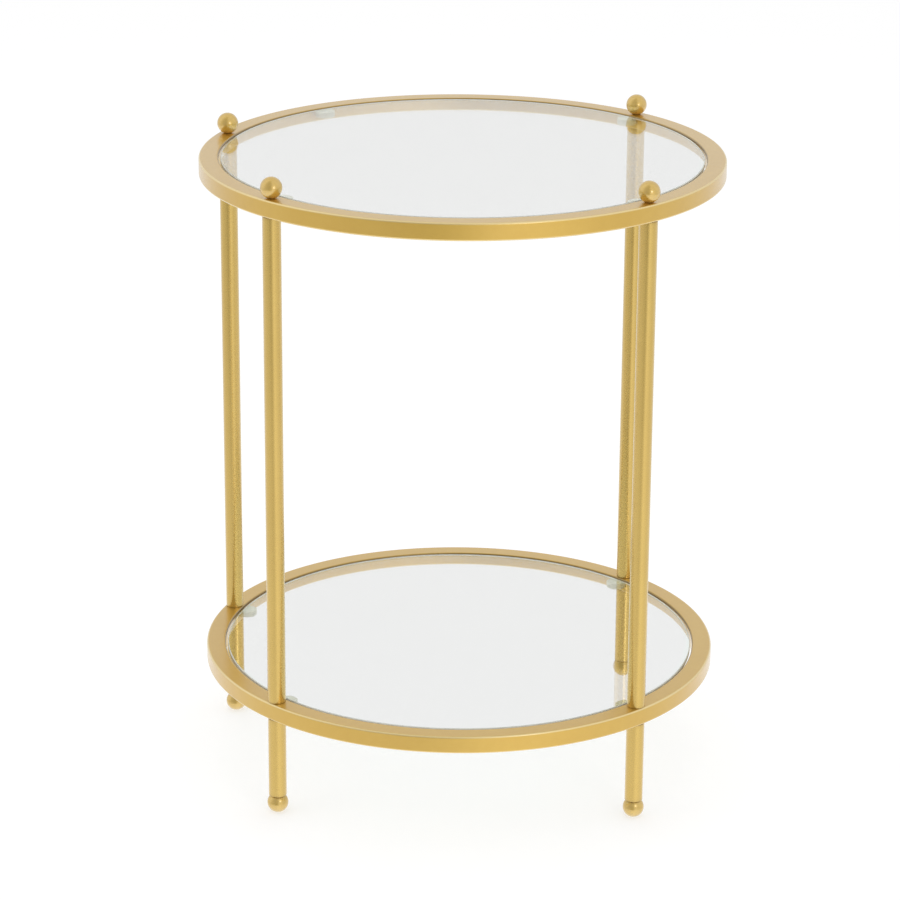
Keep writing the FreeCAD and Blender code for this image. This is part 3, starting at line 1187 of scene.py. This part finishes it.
@dataclass
class Table:
    """The whole table."""

    angles: dict[Tier, dict[Leg, float]] = field(
        default_factory=lambda: {
            Tier.TOP: dict(zip(Leg, np.radians([45.0, 128.0, 225.0, 315.0]))),
            Tier.SHELF: dict(zip(Leg, np.radians([45.0, 162.0, 225.0, 315.0]))),
        }
    )
    finial_seat: float = 3.4 * MM
    foot_flat: float = 2.5 * MM
    foot_seat: float = 6.55 * MM

    def parts(self) -> list[Replacement | Hardware]:
        """Makes every sub-assembly.

        Returns:
            The sub-assemblies in building order.
        """
        made: list[Replacement | Hardware] = [
            Hoop("bottom_ring", "lower_hoop"),
            Hoop("top_ring", "upper_hoop"),
        ]
        for leg in Leg:
            place = leg.value
            made += [
                LegTube("lower_leg_" + place, "short_leg_" + place),
                LegTube("post_" + place, "upright_" + place),
                TurnedBall("ball_foot_" + place, "foot_" + place, self.foot_flat, self.foot_seat),
                TurnedBall("finial_" + place, "knob_" + place, self.finial_seat, 0.0),
            ]
        for tier in Tier:
            made.append(GlassPane(tier))
            made += [SoftSleeve(tier, leg, self.angles[tier][leg]) for leg in Leg]
        tabs = tuple("%s_tab_%s" % (tier.value, leg.value) for tier in Tier for leg in Leg)
        made.append(Hardware(tabs))
        return made


# Studio

@dataclass(frozen=True)
class Lamp:
    """A soft box, aimed at the table: lengths in metres, bearing in degrees, power in watts."""

    name: str
    azimuth: float
    distance: float
    height: float
    width: float
    tall: float
    power: float
    mirrored: bool = False

    def build(self, target: Vector) -> None:
        """Hangs the lamp.

        Args:
            target: The point that it is turned to.
        """
        light = bpy.data.lights.new(self.name, "AREA")
        light.shape, light.size, light.size_y = "RECTANGLE", self.width, self.tall
        light.energy = self.power
        lamp = new_object(self.name, light)
        angle = np.radians(self.azimuth)
        lamp.location = (self.distance * np.cos(angle), self.distance * np.sin(angle), self.height)
        lamp.rotation_euler = (target - lamp.location).to_track_quat("-Z", "Y").to_euler()
        lamp.visible_camera = lamp.visible_transmission = False
        lamp.visible_glossy = self.mirrored


@dataclass(frozen=True)
class Viewpoint:
    """Where the photograph was taken from: lengths in metres, angles in degrees, lens in mm."""

    distance: float = 3.2
    height: float = 1.419
    azimuth: float = 0.71
    pitch: float = 19.04
    yaw: float = -0.185
    roll: float = 0.39
    lens: float = 136.5
    sensor: float = 36.0
    far: float = 60.0

    def build(self) -> None:
        """Sets up the camera.

        It stands at the distance and the height, looks down by the pitch, is turned aside by the
        yaw and tilted by the roll, and all of that is turned round the table by the azimuth.
        """
        pitch, yaw, roll = np.radians([self.pitch, self.yaw, self.roll])
        flat = np.cos(pitch)
        ahead = np.array([np.sin(yaw) * flat, np.cos(yaw) * flat, -np.sin(pitch)])
        level = np.array([np.cos(yaw), -np.sin(yaw), 0.0])
        upright = np.cross(level, ahead)
        right = np.cos(roll) * level + np.sin(roll) * upright
        up = -np.sin(roll) * level + np.cos(roll) * upright
        pose = np.eye(4)
        pose[:3, :3] = np.stack([right, up, -ahead], axis=-1)
        pose[:3, 3] = (0.0, -self.distance, self.height)
        data = bpy.data.cameras.new("photo_camera")
        data.sensor_width, data.lens, data.clip_end = self.sensor, self.lens, self.far
        camera = new_object("photo_camera", data)
        turn = Matrix.Rotation(np.radians(self.azimuth), 4, "Z")
        camera.matrix_world = turn @ Matrix(pose.tolist())
        bpy.context.scene.camera = camera


@dataclass(frozen=True)
class Surround:
    """The bright room round the table, as its metal and glass mirror it.

    Each run of levels goes round by bearings in degrees: 0 at the camera, more to its right.

    Attributes:
        room: Level at which the room lights matt surfaces.
        low: Levels of the lit floor near the table.
        level: Levels of the floor further out.
        high: Levels of the walls, dim on the camera's side.
        low_band: Heights in degrees between which low turns into level.
        high_band: Heights in degrees between which level turns into high.
    """

    room: float = 0.85
    low: Levels = (
        (-180.0, 1.06), (-105.0, 1.05), (-60.0, 1.12), (-20.0, 1.15), (5.0, 1.26),
        (25.0, 1.28), (50.0, 1.24), (75.0, 1.13), (105.0, 1.05), (180.0, 1.06),
    )
    level: Levels = (
        (-180.0, 0.95), (-105.0, 0.86), (-60.0, 0.66), (-32.0, 0.52), (-10.0, 0.26), (3.0, 0.52),
        (16.0, 1.10), (24.0, 1.12), (42.0, 0.95), (70.0, 0.82), (105.0, 0.90), (180.0, 0.95),
    )
    high: Levels = (
        (-180.0, 0.79), (-135.0, 0.82), (-90.0, 1.05), (-55.0, 0.60), (-28.0, 0.52), (-8.0, 0.44),
        (6.0, 0.64), (24.0, 0.96), (60.0, 0.84), (90.0, 0.95), (135.0, 0.78), (180.0, 0.79),
    )
    low_band: Span = (-22.5, -16.0)
    high_band: Span = (-8.0, 4.0)

    def build(self) -> None:
        """Sets the world.

        It is white to the eye and through glass, even on matt surfaces, and uneven in mirrors.
        """
        world = bpy.data.worlds.new("studio")
        bpy.context.scene.world = world
        world.use_nodes = True
        sheet = Sheet(world.node_tree)
        path = sheet.add("LightPath").outputs
        way = sheet.add("SeparateXYZ", Vector=sheet.add("TexCoord").outputs["Generated"]).outputs
        bearing = sheet.math("ARCTAN2", way["X"], sheet.math("MULTIPLY", way["Y"], -1.0))
        turn = sheet.within(bearing, -np.pi, np.pi)
        low, level, high = (
            sheet.curve(turn, tuple(((angle + 180.0) / 360.0, bright) for angle, bright in run))
            for run in (self.low, self.level, self.high)
        )
        mirrored = low
        for band, run in ((self.low_band, level), (self.high_band, high)):
            share = sheet.within(way["Z"], *np.sin(np.radians(band)), "SMOOTHSTEP")
            mirrored = sheet.between(share, mirrored, run)
        seen = sheet.math("MAXIMUM", path["Is Camera Ray"], path["Is Transmission Ray"])
        lit = sheet.between(path["Is Glossy Ray"], self.room, mirrored)
        strength = sheet.between(seen, lit, 1.0)
        sky = sheet.add("Background", Color=opaque(WHITE), Strength=strength)
        sheet.feed(sheet.add("OutputWorld").inputs["Surface"], sky.outputs[0])


@dataclass(frozen=True)
class Studio:
    """Pale floor, bright surround and soft boxes."""

    floor_radius: float = 14.0
    floor_steps: int = 96
    floor_colour: Colour = (0.50, 0.50, 0.50)
    floor_lift: float = 0.56
    aim_height: float = 0.35
    surround: Surround = Surround()
    lamps: tuple[Lamp, ...] = (
        Lamp(
            "key_box", azimuth=-62.0, distance=2.7, height=1.23, width=0.8, tall=0.8, power=5.2,
            mirrored=True,
        ),
        Lamp("left_box", azimuth=205.0, distance=2.6, height=1.3, width=1.6, tall=1.8, power=8.0),
        Lamp("top_box", azimuth=90.0, distance=0.8, height=2.6, width=2.4, tall=2.4, power=10.0),
    )

    def floor(self) -> None:
        """Lays the floor.

        It is a flat disc that is white to the eye, keeps the table's shadow and lets mirrors see
        the room.
        """
        angle = np.linspace(0.0, FULL_TURN, self.floor_steps, endpoint=False)
        ring = np.stack([np.cos(angle), np.sin(angle), np.zeros_like(angle)], axis=-1)
        mesh = bpy.data.meshes.new("studio_floor")
        mesh.from_pydata((ring * self.floor_radius).tolist(), [], [list(range(len(ring)))])
        floor = new_object("studio_floor", mesh)
        made, sheet, output = new_material("pale_floor")
        path = sheet.add("LightPath").outputs
        seen = sheet.math("MAXIMUM", path["Is Camera Ray"], path["Is Transmission Ray"])
        skin = sheet.add("BsdfDiffuse", Color=opaque(self.floor_colour))
        light = sheet.add("Emission", Strength=sheet.math("MULTIPLY", seen, self.floor_lift))
        both = sheet.add("AddShader", None, skin.outputs[0], light.outputs[0])
        open_way = sheet.add("BsdfTransparent").outputs[0]
        surface = sheet.either(path["Is Glossy Ray"], both.outputs[0], open_way)
        sheet.feed(output.inputs["Surface"], surface)
        mesh.materials.append(made)

    def build(self) -> None:
        """Sets up the floor, the surround, the lamps and the plain view."""
        bpy.context.scene.view_settings.view_transform = "Standard"
        self.floor()
        self.surround.build()
        target = Vector((*TABLE_AXIS, self.aim_height))
        for lamp in self.lamps:
            lamp.build(target)


def main() -> None:
    """Builds the table and the studio."""
    logging.basicConfig(level=logging.INFO, format="%(name)s: %(message)s")
    materials = Finishes().materials()
    for part in Table().parts():
        part.dress(materials)
    Studio().build()
    Viewpoint().build()
    bpy.context.view_layer.update()


if __name__ == "__main__":
    main()
